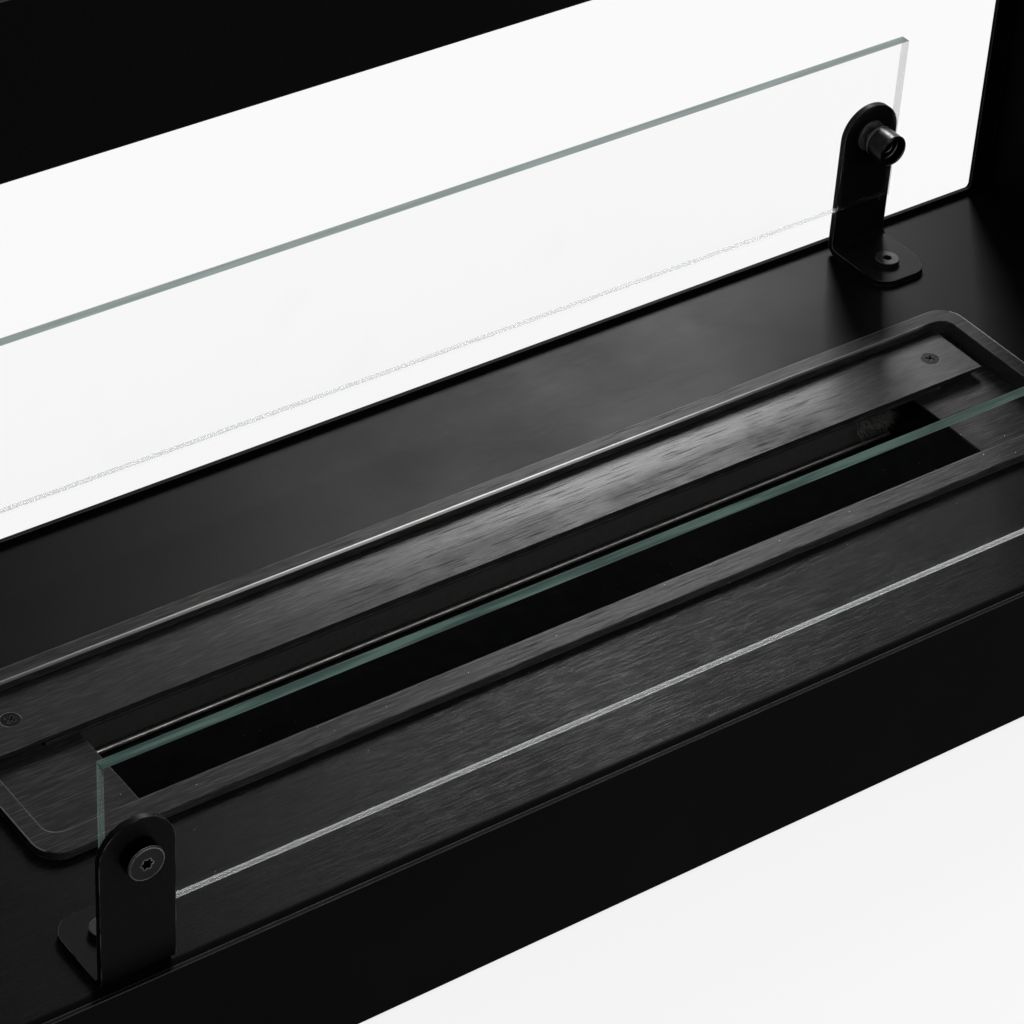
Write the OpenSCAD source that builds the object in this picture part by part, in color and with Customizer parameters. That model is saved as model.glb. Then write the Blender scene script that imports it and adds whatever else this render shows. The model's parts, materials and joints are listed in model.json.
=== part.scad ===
// Free-standing see-through bioethanol fireplace with a drop-in burner and two glass screens.
// The origin is on the floor under the middle of the body. X runs along the window, Y to the rear.

/* [Body] */
// Overall width of the body
body_w = 800; // [740:10:960]
// Overall depth over the front and rear faces
body_d = 268; // [262:2:340]
// Height of the sheet metal body above its feet
body_h = 513; // [470:1:640]
// Thickness of the body sheets
sheet_t = 2; // [1.5:0.1:2.4]
// Height of the hearth surface above the bottom edge of the body
plinth_h = 73; // [68:1:100]
// Width of the faces beside the window
stile_w = 36; // [32:1:60]
// Height of the faces above the window
header_h = 64; // [50:1:110]
// Height of the face edges above the hearth surface
lip_h = 3; // [2:0.5:12]
// Distance by which the inner walls stand behind the window edges
reveal = 11; // [8:0.5:14]
// Corner radius of the window
window_r = 2.5; // [1:0.5:8]
// Width of the folded flanges behind the faces
flange_w = 14; // [12:1:16]
// Distance between the stud rows of the horizontal flanges
stud_pitch = 250; // [120:10:300]
// Diameter of the weld studs behind the faces
stud_d = 4; // [3:0.5:4]
// Thickness of the stud nuts
stud_nut_t = 3.2; // [2.4:0.1:4]
// Width of the stud nuts over their flats
stud_nut_af = 7; // [6.5:0.1:7.5]

/* [Feet] */
// Height of the rubber feet below the body
foot_h = 2; // [1:0.5:8]
// Diameter of the rubber feet
foot_d = 30; // [20:1:40]
// Diameter of the foot's neck in the base panel
foot_neck_d = 10; // [8:0.5:12]
// Diameter of the collar that holds the foot in the base panel
foot_collar_d = 14; // [13:0.5:17]
// Thickness of that collar
foot_collar_t = 2; // [1:0.5:4]
// Distance of the feet from the side of the body
foot_side_inset = 60; // [50:1:90]
// Distance of the feet from the faces of the body
foot_face_inset = 28; // [24:1:34]

/* [Hearth] */
// Distance of the hearth rails from the burner rim
rail_gap = 4; // [1:0.5:6]
// Width of the rail flanges
rail_w = 13; // [10:1:14]
// Thickness of the rail sheet
rail_t = 1.5; // [1:0.1:2]

/* [Burner] */
// Width of the burner rim
burner_w = 564; // [520:2:620]
// Depth of the burner rim
burner_d = 112; // [106:1:116]
// Height of the rim above the hearth surface
rim_h = 4; // [3:0.5:8]
// Width of the rim's top at the sides and the rear
rim_side_w = 8; // [7:0.5:10]
// Width of the rim's top at the front
rim_front_w = 11.5; // [9:0.5:13]
// Outer corner radius of the rim
rim_r = 12; // [10:0.5:18]
// Inner corner radius of the rim
well_r = 7; // [5:0.5:9]
// Thickness of the burner sheets
burner_t = 1.5; // [1:0.1:1.8]
// Clearance between the burner well and the cut-out in the hearth
well_clear = 0.8; // [0.5:0.1:1.2]
// Depth of the deck below the top of the rim
deck_drop = 10; // [9:0.5:14]
// Length by which the well wall reaches below the deck
well_skirt = 2.5; // [2:0.5:6]
// Distance of the flame slot from the side walls of the well
slot_side_gap = 47; // [44:1:80]
// Width of the deck strip in front of the flame slot
deck_front_w = 10; // [8:0.5:14]
// Depth of the rear cover plate
cover_w = 34.5; // [33:0.5:38]
// Thickness of the rear cover plate
cover_t = 2; // [1.5:0.1:2.5]
// Gap between the cover plate and the rear wall of the well
cover_rear_gap = 1.2; // [0.8:0.1:2]
// Gap between the cover plate and the side walls of the well
cover_side_gap = 7; // [5:0.5:9]
// Height of the spacers under the cover plate
spacer_h = 3.5; // [3.2:0.1:5]
// Diameter of the spacers
spacer_d = 9; // [8:0.5:10]
// Distance of the cover screws from the ends of the cover plate
cover_screw_inset = 17; // [14:0.5:18]
// Distance of the cover screws from the rear edge of the cover plate
cover_screw_rear = 16.8; // [14:0.2:20]
// Head diameter of the countersunk cover screws
cover_head_d = 9.2; // [8.6:0.1:10]
// Depth of the slot in the deck that the cover plate hides
slot_under_cover = 10; // [6:0.5:12]

/* [Damper slide] */
// Thickness of the damper slide
damper_t = 1.5; // [1:0.1:2]
// Distance of the damper's front edge behind the edge of the cover plate
damper_setback = 1; // [0.5:0.1:2]
// Gap between the damper's ends and the cover spacers
damper_end_gap = 2.5; // [1:0.1:5]
// Width of the guide tabs that reach into the flame slot
tab_w = 6; // [4:0.5:10]
// Depth of the guide tabs below the deck's underside
tab_drop = 1.5; // [0.5:0.1:3]
// Side clearance of the guide tabs in the flame slot
tab_clear = 0.6; // [0.4:0.1:1]

/* [Fuel tank] */
// Distance of the fuel tank from the side walls of the well
tank_side_gap = 38; // [34:0.5:40]
// Height of the fuel tank below the deck
tank_h = 35.5; // [28:0.5:44]
// Gap between the fuel tank and the well wall
tank_gap = 0.5; // [0.4:0.1:1]
// Outer bend radius of the tank trough
tank_r = 3; // [2:0.5:5]
// Thickness of the fibre strip along the rear of the tank
fibre_t = 10; // [8:0.5:14]
// Gap between the fibre strip and the deck
fibre_top_gap = 7; // [1:0.5:12]
// Thickness of the tray that holds the fibre strip
fibre_tray_t = 1; // [0.8:0.1:1.5]
// Diameter of the rolled edge of the fibre tray
bead_d = 3; // [2:0.1:4]
// Gap between the fibre strip and the ends of the tank
fibre_end_gap = 2; // [0.5:0.5:10]

/* [Glass screens] */
// Distance of the glass screens' ends from the sides of the window
glass_side_gap = 70; // [60:1:80]
// Height of the front glass screen
front_glass_h = 79.5; // [70:0.5:120]
// Height of the rear glass screen
rear_glass_h = 88; // [70:0.5:120]
// Thickness of the glass screens
glass_t = 5; // [4:0.5:6]
// Gap below the glass screens
glass_gap = 28.5; // [20:0.5:40]
// Diameter of the holes in the glass
glass_hole_d = 9; // [8.6:0.1:10]

/* [Brackets] */
// Width of the glass brackets
bracket_w = 33; // [30:1:40]
// Height of the glass brackets
bracket_h = 80.5; // [72:0.5:100]
// Length of the bracket feet
bracket_l = 41; // [38:1:44]
// Thickness of the brackets
bracket_t = 3; // [2:0.1:4]
// Outer bend radius of the brackets
bend_r = 6; // [4.5:0.1:8]
// Corner radius of the bracket feet
foot_r = 11; // [6:0.5:14]
// Length by which the brackets stand out beyond the ends of the glass screens
bracket_overhang = 5; // [3:0.5:8]
// Distance of the brackets from the outer surface of the faces
bracket_setback = 6.5; // [6:0.5:9]
// Distance of the foot screws from the upright of the bracket
foot_screw_y = 26; // [22:0.5:28]

/* [Clamps and screws] */
// Diameter of the clamp screw heads and the barrel nuts
knob_d = 16; // [14.5:0.5:18]
// Length of the clamp screw heads
knob_l = 7; // [6:0.5:12]
// Length of the barrel nuts behind the rear glass
barrel_l = 10.5; // [9:0.5:16]
// Diameter of the low nuts behind the front glass
low_nut_d = 10.5; // [10.2:0.1:14]
// Length of the low nuts
low_nut_l = 3; // [2.5:0.5:6]
// Diameter of the clamp screw shanks
shank_d = 6; // [5:0.5:6.5]
// Mouth diameter of the barrel nuts
mouth_d = 13; // [10:0.5:13.5]
// Mouth depth of the barrel nuts
mouth_l = 5; // [2:0.5:7]
// Edge chamfer of the clamp parts
knob_chamfer = 0.6; // [0.3:0.1:1]
// Thickness of the gaskets beside the glass
gasket_t = 1; // [0.5:0.1:2]
// Diameter of the bracket screw heads
head_d = 12; // [10:0.5:15]
// Height of the bracket screw heads
head_h = 2.5; // [1.5:0.1:3.5]
// Shank diameter of the bracket screws
foot_screw_d = 6; // [5:0.1:6]
// Width of the nuts of the bracket screws over their flats
foot_nut_af = 10; // [8:0.1:10.5]
// Thickness of the nuts of the bracket screws
foot_nut_t = 5; // [4:0.1:6]
// Shank diameter of the cover screws
cover_screw_d = 5; // [4:0.1:5]
// Width of the nuts of the cover screws over their flats
cover_nut_af = 8; // [7:0.1:8.5]
// Thickness of the nuts of the cover screws
cover_nut_t = 4; // [3:0.1:5]
// Length by which screws and studs stand out of their nuts
thread_end = 1.5; // [0.5:0.1:2]
// Width of the hexagon socket in the bracket screws over its flats
socket_af = 4; // [3:0.1:4.2]
// Depth of the hexagon socket
socket_l = 3; // [1.5:0.1:4]
// Radius of the circle on which the lobes of the star recess lie
star_r = 2; // [1.5:0.1:2.4]
// Diameter of the lobes of the star recess in the clamp screws
star_lobe_d = 1.4; // [1:0.1:1.8]
// Depth of the star recess
star_l = 4; // [2:0.1:5]
// Arm length of the cross recess in the cover screws
cross_l = 4.6; // [3.6:0.1:5]
// Arm width of the cross recess in the cover screws
cross_w = 1; // [0.8:0.1:1.2]
// Depth of the cross recess in the cover screws
cross_depth = 1; // [0.6:0.1:1.2]
// Radial clearance of screws in their threads
thread_clear = 0.05; // [0.02:0.01:0.1]
// Radial clearance of screws in plain holes
hole_clear = 0.2; // [0.1:0.05:0.5]

/* [Hidden] */
$fn = 48;

// Overrun of every cut past the surface that it cuts
over = 1;

// Levels of the body, from the floor up
body_top = foot_h + body_h;
hearth_z = foot_h + plinth_h;
window_low = hearth_z + lip_h;
window_high = body_top - header_h;
ceiling_z = window_high + reveal;

// Widths and depths of the body
window_w = body_w - 2 * stile_w;
inner_w = window_w + 2 * reveal;
inner_d = body_d - 2 * sheet_t;
flange_mid = sheet_t + flange_w / 2;

// Weld studs behind each face: rows on the horizontal flanges, columns on the side flanges
stud_row_heights = [foot_h + flange_mid, hearth_z - flange_mid,
    ceiling_z + flange_mid, body_top - flange_mid];
stud_column_shares = [0.14, 0.5, 0.86];
side_stud_x = body_w / 2 - flange_mid;
stud_spots = concat(
    [for (z = stud_row_heights, i = [-1, 0, 1]) [i * stud_pitch, z]],
    [for (share = stud_column_shares, side = [-1, 1]) [side * side_stud_x, foot_h + share * body_h]]);
stud_l = sheet_t + stud_nut_t + thread_end;

// Places of the feet
foot_x = body_w / 2 - foot_side_inset;
foot_y = body_d / 2 - foot_face_inset;

// Levels of the burner
rim_top = hearth_z + rim_h;
deck_top = rim_top - deck_drop;
deck_low = deck_top - burner_t;
cover_low = deck_top + spacer_h;
cover_top = cover_low + cover_t;
tank_low = deck_low - tank_h;
tank_floor = tank_low + burner_t;

// Place of the hearth rails
rail_y = burner_d / 2 + rail_gap;

// Plan of the burner well, which lies nearer to the rear because the front rim is wider
well_w = burner_w - 2 * rim_side_w;
well_front = rim_front_w - burner_d / 2;
well_rear = burner_d / 2 - rim_side_w;
well_d = well_rear - well_front;
well_mid = (well_front + well_rear) / 2;
slot_front = well_front + deck_front_w;
cover_rear = well_rear - cover_rear_gap;
cover_front = cover_rear - cover_w;
slot_rear = cover_front + slot_under_cover;
slot_l = well_w - 2 * slot_side_gap;
cover_l = well_w - 2 * cover_side_gap;
cover_screw_x = cover_l / 2 - cover_screw_inset;
cover_screw_y = cover_rear - cover_screw_rear;

// Damper slide
damper_l = 2 * (cover_screw_x - spacer_d / 2 - damper_end_gap);
damper_front = cover_front + damper_setback;
damper_w = cover_rear - damper_front;
tab_x = slot_l / 2 - tab_clear - tab_w;

// Fuel tank
tank_front = well_front + tank_gap;
tank_rear = well_rear - tank_gap;
tank_mid = (tank_front + tank_rear) / 2;
tank_d = tank_rear - tank_front;
tank_l = well_w - 2 * tank_side_gap;
fibre_l = tank_l - 2 * burner_t - 2 * fibre_end_gap;
fibre_rear = tank_rear - tank_r;
fibre_front = fibre_rear - fibre_t;
fibre_low = tank_floor + fibre_tray_t;

// Glass screens and their brackets
glass_l = window_w - 2 * glass_side_gap;
bracket_y = body_d / 2 - bracket_setback;
bracket_x = glass_l / 2 + bracket_overhang - bracket_w / 2;
clamp_z = bracket_h - bracket_w / 2;
glass_y = bracket_t + gasket_t;
nut_y = glass_y + glass_t + gasket_t;
front_clamp_l = nut_y + low_nut_l;
rear_clamp_l = nut_y + barrel_l - mouth_l;
front_places = [[-1, -1], [1, -1]];
rear_places = [[-1, 1], [1, 1]];
bracket_places = concat(front_places, rear_places);

module rounded(w, d, r) {
    square([w - 2 * r, d], center = true);
    square([w, d - 2 * r], center = true);
    for (x = [-1, 1], y = [-1, 1])
        translate([x * (w / 2 - r), y * (d / 2 - r)]) circle(r);
}

// Cylinder along +Y, with its base at y = 0
module y_rod(d, l) rotate([-90, 0, 0]) cylinder(d = d, h = l);

module y_cone(d1, d2, l) rotate([-90, 0, 0]) cylinder(d1 = d1, d2 = d2, h = l);

module hexagon(af, h) cylinder(d = af / cos(30), h = h, $fn = 6);

// Box between two levels, centred on x = 0
module slab(w, y_front, y_rear, z_low, z_high) {
    translate([-w / 2, y_front, z_low]) cube([w, y_rear - y_front, z_high - z_low]);
}

module at_studs() {
    for (spot = stud_spots) translate([spot[0], 0, spot[1]]) children();
}

// Face with its window and weld studs, outer surface at y = 0 and the body behind it
module face() {
    difference() {
        slab(body_w, 0, sheet_t, foot_h, body_top);
        translate([0, sheet_t + over, (window_low + window_high) / 2]) rotate([90, 0, 0])
            linear_extrude(sheet_t + 2 * over)
                rounded(window_w, window_high - window_low, window_r);
    }
    at_studs() translate([0, sheet_t, 0]) y_rod(stud_d, stud_l);
}

module front_face() {
    color("#161616") translate([0, -body_d / 2, 0]) face();
}

module rear_face() {
    color("#161616") mirror([0, 1, 0]) translate([0, -body_d / 2, 0]) face();
}

// Clearance holes for the weld studs of both faces
module stud_holes() {
    for (side = [0, 1]) mirror([0, side, 0])
        at_studs() translate([0, -over - inner_d / 2, 0])
            y_rod(stud_d + 2 * hole_clear, sheet_t + 2 * over);
}

// Side panel with a folded flange behind each face
module side_panel() {
    flange_x = body_w / 2 - sheet_t - flange_w;
    difference() {
        union() {
            translate([body_w / 2 - sheet_t, -inner_d / 2, foot_h]) cube([sheet_t, inner_d, body_h]);
            for (side = [0, 1]) mirror([0, side, 0])
                translate([flange_x, -inner_d / 2, foot_h + sheet_t])
                    cube([flange_w, sheet_t, body_h - 2 * sheet_t]);
        }
        stud_holes();
    }
}

module left_side_panel() {
    color("#1a1a1a") mirror([1, 0, 0]) side_panel();
}

module right_side_panel() {
    color("#1a1a1a") side_panel();
}

// Horizontal panel between the faces; its flanges point up where fold is 1 and down where it is -1
module folded_panel(w, z_low, fold) {
    flange_low = fold > 0 ? z_low + sheet_t : z_low - flange_w;
    slab(w, -inner_d / 2, inner_d / 2, z_low, z_low + sheet_t);
    for (side = [0, 1]) mirror([0, side, 0])
        slab(inner_w, -inner_d / 2, sheet_t - inner_d / 2, flange_low, flange_low + flange_w);
}

module top_panel() {
    color("#1a1a1a") difference() {
        folded_panel(body_w - 2 * sheet_t, body_top - sheet_t, -1);
        stud_holes();
    }
}

module base_panel() {
    color("#1a1a1a") difference() {
        folded_panel(body_w - 2 * sheet_t, foot_h, 1);
        stud_holes();
        for (x = [-1, 1], y = [-1, 1]) translate([x * foot_x, y * foot_y, foot_h - over])
            cylinder(d = foot_neck_d + 2 * hole_clear, h = sheet_t + 2 * over);
    }
}

module ceiling_panel() {
    color("#141414") difference() {
        folded_panel(inner_w, ceiling_z, 1);
        stud_holes();
    }
}

module cheek() {
    translate([inner_w / 2, -inner_d / 2, foot_h + sheet_t])
        cube([sheet_t, inner_d, body_h - 2 * sheet_t]);
}

module left_cheek() {
    color("#181818") mirror([1, 0, 0]) cheek();
}

module right_cheek() {
    color("#181818") cheek();
}

module at_bracket_screws() {
    for (place = bracket_places)
        translate([place[0] * bracket_x, place[1] * (bracket_y - foot_screw_y), hearth_z]) children();
}

module hearth_plate() {
    cut_w = well_w + 2 * (burner_t + well_clear);
    cut_d = well_d + 2 * (burner_t + well_clear);
    color("#303030") difference() {
        folded_panel(inner_w, hearth_z - sheet_t, -1);
        stud_holes();
        translate([0, well_mid, hearth_z - sheet_t - over]) linear_extrude(sheet_t + 2 * over)
            rounded(cut_w, cut_d, well_r + burner_t + well_clear);
        at_bracket_screws() translate([0, 0, -sheet_t - over])
            cylinder(d = foot_screw_d + 2 * hole_clear, h = sheet_t + 2 * over);
    }
}

// Channel that carries the hearth plate on the base panel
module hearth_rail() {
    rail_low = foot_h + sheet_t;
    rail_high = hearth_z - sheet_t;
    slab(inner_w, rail_y, rail_y + rail_t, rail_low, rail_high);
    slab(inner_w, rail_y, rail_y + rail_w, rail_low, rail_low + rail_t);
    slab(inner_w, rail_y, rail_y + rail_w, rail_high - rail_t, rail_high);
}

module front_hearth_rail() {
    color("silver") mirror([0, 1, 0]) hearth_rail();
}

module rear_hearth_rail() {
    color("silver") hearth_rail();
}

module rubber_feet() {
    color("#202020") for (x = [-1, 1], y = [-1, 1]) translate([x * foot_x, y * foot_y, 0]) {
        cylinder(d = foot_d, h = foot_h);
        cylinder(d = foot_neck_d, h = foot_h + sheet_t);
        translate([0, 0, foot_h + sheet_t]) cylinder(d = foot_collar_d, h = foot_collar_t);
    }
}

module face_nuts() {
    color("silver") for (side = [0, 1]) mirror([0, side, 0])
        at_studs() translate([0, sheet_t - inner_d / 2, 0]) difference() {
            rotate([-90, 0, 0]) hexagon(stud_nut_af, stud_nut_t);
            translate([0, -over, 0]) y_rod(stud_d + 2 * thread_clear, stud_nut_t + 2 * over);
        }
}

// Bracket: outer surface of the upright at y = 0, foot towards +Y, standing on z = 0
module bracket() {
    difference() {
        union() {
            translate([0, bracket_t, 0]) rotate([90, 0, 0]) linear_extrude(bracket_t) {
                translate([-bracket_w / 2, bend_r]) square([bracket_w, clamp_z - bend_r]);
                intersection() {
                    translate([0, clamp_z]) circle(d = bracket_w);
                    translate([-bracket_w / 2, clamp_z]) square([bracket_w, bracket_w]);
                }
            }
            bracket_bend();
            linear_extrude(bracket_t) bracket_foot();
        }
        translate([0, -over, clamp_z]) y_rod(shank_d + 2 * hole_clear, bracket_t + 2 * over);
        translate([0, foot_screw_y, -over])
            cylinder(d = foot_screw_d + 2 * hole_clear, h = bracket_t + 2 * over);
    }
}

module bracket_bend() {
    translate([-bracket_w / 2, bend_r, bend_r]) rotate([0, 90, 0]) intersection() {
        difference() {
            cylinder(r = bend_r, h = bracket_w);
            translate([0, 0, -over]) cylinder(r = bend_r - bracket_t, h = bracket_w + 2 * over);
        }
        translate([0, -bend_r, 0]) cube([bend_r, bend_r, bracket_w]);
    }
}

module bracket_foot() {
    translate([-bracket_w / 2, bend_r]) square([bracket_w, bracket_l - foot_r - bend_r]);
    translate([foot_r - bracket_w / 2, bend_r]) square([bracket_w - 2 * foot_r, bracket_l - bend_r]);
    for (x = [-1, 1]) translate([x * (bracket_w / 2 - foot_r), bracket_l - foot_r]) circle(foot_r);
}

// Puts a child drawn for a front bracket at the bracket on side x and face y
module at_bracket(x, y) {
    translate([x * bracket_x, y * bracket_y, hearth_z]) mirror([0, y > 0 ? 1 : 0, 0]) children();
}

// Puts a child drawn for a front bracket at each of the given brackets
module at_brackets(places) {
    for (place = places) at_bracket(place[0], place[1]) children();
}

// The same at the clamp axes of the brackets, at a distance from their outer surface
module at_clamps(places, y) {
    at_brackets(places) translate([0, y, clamp_z]) children();
}

module front_left_bracket() {
    color("#262626") at_bracket(-1, -1) bracket();
}

module front_right_bracket() {
    color("#262626") at_bracket(1, -1) bracket();
}

module rear_left_bracket() {
    color("#262626") at_bracket(-1, 1) bracket();
}

module rear_right_bracket() {
    color("#262626") at_bracket(1, 1) bracket();
}

module bracket_screws() {
    shank_l = bracket_t + sheet_t + foot_nut_t + thread_end;
    color("#3a3a3a") at_bracket_screws() difference() {
        union() {
            translate([0, 0, bracket_t]) cylinder(d = head_d, h = head_h);
            translate([0, 0, bracket_t - shank_l]) cylinder(d = foot_screw_d, h = shank_l);
        }
        translate([0, 0, bracket_t + head_h - socket_l]) hexagon(socket_af, socket_l + over);
    }
}

// Nut below z = 0 for a screw of the given diameter
module nut(af, h, screw_d) {
    translate([0, 0, -h]) difference() {
        hexagon(af, h);
        translate([0, 0, -over]) cylinder(d = screw_d + 2 * thread_clear, h = h + 2 * over);
    }
}

module bracket_nuts() {
    color("silver") at_bracket_screws() translate([0, 0, -sheet_t])
        nut(foot_nut_af, foot_nut_t, foot_screw_d);
}

// Glass pane of height h with a clamp hole near each end, outer surface at y = 0
module glass(h) {
    color("#b8d8d2", 0.35) difference() {
        slab(glass_l, 0, glass_t, glass_gap, glass_gap + h);
        for (x = [-1, 1]) translate([x * bracket_x, -over, clamp_z])
            y_rod(glass_hole_d, glass_t + 2 * over);
    }
}

module front_glass() {
    translate([0, glass_y - bracket_y, hearth_z]) glass(front_glass_h);
}

module rear_glass() {
    mirror([0, 1, 0]) translate([0, glass_y - bracket_y, hearth_z]) glass(rear_glass_h);
}

// Star recess with six lobes, cut along +Y from y = 0
module star_recess() {
    translate([0, -over, 0]) {
        y_rod(2 * star_r, star_l + over);
        for (turn = [0:60:300]) rotate([0, turn, 0]) translate([star_r, 0, 0])
            y_rod(star_lobe_d, star_l + over);
    }
}

// Clamp screw along +Y with its head in front of y = 0 and a shank of the given length
module clamp_screw(l) {
    color("#4a4a4a") difference() {
        union() {
            translate([0, -knob_l, 0]) y_cone(knob_d - 2 * knob_chamfer, knob_d, knob_chamfer);
            translate([0, knob_chamfer - knob_l, 0]) y_rod(knob_d, knob_l - knob_chamfer);
            y_rod(shank_d, l);
        }
        translate([0, -knob_l, 0]) star_recess();
    }
}

module front_clamp_screws() {
    at_clamps(front_places, 0) clamp_screw(front_clamp_l);
}

module rear_clamp_screws() {
    at_clamps(rear_places, 0) clamp_screw(rear_clamp_l);
}

// Round nut along +Y from y = 0, with its far edge chamfered
module round_nut(d, l) {
    color("#4a4a4a") difference() {
        union() {
            y_rod(d, l - knob_chamfer);
            translate([0, l - knob_chamfer, 0]) y_cone(d, d - 2 * knob_chamfer, knob_chamfer);
        }
        translate([0, -over, 0]) y_rod(shank_d + 2 * thread_clear, l + 2 * over);
    }
}

module low_nuts() {
    at_clamps(front_places, nut_y) round_nut(low_nut_d, low_nut_l);
}

module barrel_nuts() {
    at_clamps(rear_places, nut_y) difference() {
        round_nut(knob_d, barrel_l);
        translate([0, barrel_l - mouth_l, 0]) y_rod(mouth_d, mouth_l + over);
    }
}

// Gasket between bracket and glass, with a collar that keeps the screw off the glass
module outer_gaskets() {
    collar_d = glass_hole_d - 2 * hole_clear;
    color("#2c2c2c") at_clamps(bracket_places, bracket_t) difference() {
        union() {
            y_rod(knob_d, gasket_t);
            y_rod(collar_d, gasket_t + glass_t - hole_clear);
        }
        translate([0, -over, 0]) y_rod(shank_d + 2 * hole_clear, gasket_t + glass_t + 2 * over);
    }
}

// Gasket of diameter d between glass and nut
module inner_gasket(d) {
    color("#2c2c2c") difference() {
        y_rod(d, gasket_t);
        translate([0, -over, 0]) y_rod(shank_d + 2 * hole_clear, gasket_t + 2 * over);
    }
}

module inner_gaskets() {
    at_clamps(front_places, nut_y - gasket_t) inner_gasket(low_nut_d);
    at_clamps(rear_places, nut_y - gasket_t) inner_gasket(knob_d);
}

// Folded rim: outer edge on the hearth, flat top, and the wall of the well inside it
module burner_rim() {
    t = burner_t;
    color("#3c3c3c") difference() {
        union() {
            translate([0, 0, hearth_z]) linear_extrude(rim_h) rounded(burner_w, burner_d, rim_r);
            translate([0, well_mid, deck_low - well_skirt]) linear_extrude(rim_top - deck_low)
                rounded(well_w + 2 * t, well_d + 2 * t, well_r + t);
        }
        translate([0, well_mid, deck_low - well_skirt - over])
            linear_extrude(deck_drop + t + well_skirt + 2 * over) rounded(well_w, well_d, well_r);
        difference() {
            translate([0, 0, hearth_z - over]) linear_extrude(rim_h - t + over)
                rounded(burner_w - 2 * t, burner_d - 2 * t, rim_r - t);
            translate([0, well_mid, hearth_z - 2 * over]) linear_extrude(rim_h + 2 * over)
                rounded(well_w + 2 * t, well_d + 2 * t, well_r + t);
        }
    }
}

module at_cover_screws() {
    for (x = [-1, 1]) translate([x * cover_screw_x, cover_screw_y, 0]) children();
}

module burner_deck() {
    color("#444444") difference() {
        translate([0, well_mid, deck_low]) linear_extrude(burner_t) rounded(well_w, well_d, well_r);
        slab(slot_l, slot_front, slot_rear, deck_low - over, deck_top + over);
        at_cover_screws() translate([0, 0, deck_low - over])
            cylinder(d = cover_screw_d + 2 * hole_clear, h = burner_t + 2 * over);
    }
}

module cover_plate() {
    color("#4c4c4c") difference() {
        slab(cover_l, cover_front, cover_rear, cover_low, cover_top);
        at_cover_screws() {
            translate([0, 0, cover_low]) cylinder(d1 = cover_screw_d + 2 * hole_clear,
                d2 = cover_head_d + 2 * thread_clear, h = cover_t);
            translate([0, 0, cover_low - over])
                cylinder(d = cover_screw_d + 2 * hole_clear, h = 2 * over);
        }
    }
}

module cover_spacers() {
    color("silver") at_cover_screws() translate([0, 0, deck_top]) difference() {
        cylinder(d = spacer_d, h = spacer_h);
        translate([0, 0, -over])
            cylinder(d = cover_screw_d + 2 * hole_clear, h = spacer_h + 2 * over);
    }
}

module cover_screws() {
    shank_low = deck_low - cover_nut_t - thread_end;
    color("#5a5a5a") at_cover_screws() difference() {
        union() {
            translate([0, 0, cover_low]) cylinder(d1 = cover_screw_d, d2 = cover_head_d, h = cover_t);
            translate([0, 0, shank_low]) cylinder(d = cover_screw_d, h = cover_low - shank_low);
        }
        for (turn = [45, 135]) rotate(turn)
            translate([-cross_l / 2, -cross_w / 2, cover_top - cross_depth])
                cube([cross_l, cross_w, cross_depth + over]);
    }
}

module cover_nuts() {
    color("silver") at_cover_screws() translate([0, 0, deck_low])
        nut(cover_nut_af, cover_nut_t, cover_screw_d);
}

// Plate that slides on the deck, with two tabs that reach into the ends of the flame slot
module damper_slide() {
    tab_rear = slot_rear - tab_clear;
    color("#383838") {
        slab(damper_l, damper_front, damper_front + damper_w, deck_top, deck_top + damper_t);
        for (side = [0, 1]) mirror([side, 0, 0])
            translate([tab_x, tab_rear - damper_t, deck_low - tab_drop])
                cube([tab_w, damper_t, deck_top - deck_low + tab_drop]);
    }
}

// Outline of a trough, drawn with its depth along x and its height along y from 0
module trough_outline(w, h, r) {
    translate([-w / 2, r]) square([w, h - r]);
    translate([r - w / 2, 0]) square([w - 2 * r, r]);
    for (x = [-1, 1]) translate([x * (w / 2 - r), r]) circle(r);
}

// Stretch of the tank with the child's outline as its section, centred on x = 0
module trough_run(l) {
    translate([-l / 2, tank_mid, tank_low]) rotate([90, 0, 90]) linear_extrude(l) children();
}

module tank_trough() {
    color("#2e2e2e") trough_run(tank_l - 2 * burner_t) difference() {
        trough_outline(tank_d, tank_h, tank_r);
        translate([0, burner_t]) trough_outline(tank_d - 2 * burner_t, tank_h, tank_r - burner_t);
    }
}

module tank_ends() {
    color("#2e2e2e") for (side = [-1, 1])
        translate([side * (tank_l - burner_t) / 2, 0, 0]) trough_run(burner_t)
            trough_outline(tank_d, tank_h, tank_r);
}

// Tray under the fibre strip, with a rolled front edge
module fibre_tray() {
    color("#6a6a6a") {
        slab(fibre_l, fibre_front - bead_d / 2, fibre_rear, tank_floor, fibre_low);
        translate([-fibre_l / 2, fibre_front - bead_d / 2, tank_floor + bead_d / 2])
            rotate([0, 90, 0]) cylinder(d = bead_d, h = fibre_l);
    }
}

module fibre_strip() {
    color("#8a8a84") slab(fibre_l, fibre_front, fibre_rear, fibre_low, deck_low - fibre_top_gap);
}

front_face();
rear_face();
left_side_panel();
right_side_panel();
top_panel();
base_panel();
left_cheek();
right_cheek();
ceiling_panel();
hearth_plate();
front_hearth_rail();
rear_hearth_rail();
rubber_feet();
face_nuts();
front_left_bracket();
front_right_bracket();
rear_left_bracket();
rear_right_bracket();
bracket_screws();
bracket_nuts();
front_glass();
rear_glass();
front_clamp_screws();
rear_clamp_screws();
low_nuts();
barrel_nuts();
outer_gaskets();
inner_gaskets();
burner_rim();
burner_deck();
cover_plate();
cover_spacers();
cover_screws();
cover_nuts();
damper_slide();
tank_trough();
tank_ends();
fibre_tray();
fibre_strip();
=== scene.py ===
"""Dress the see-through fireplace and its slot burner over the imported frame, for Blender 4.5."""

import json
import logging
import math
import random
from dataclasses import dataclass, field
from enum import Enum

import bmesh
import bpy
from mathutils import Matrix, Vector


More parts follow.
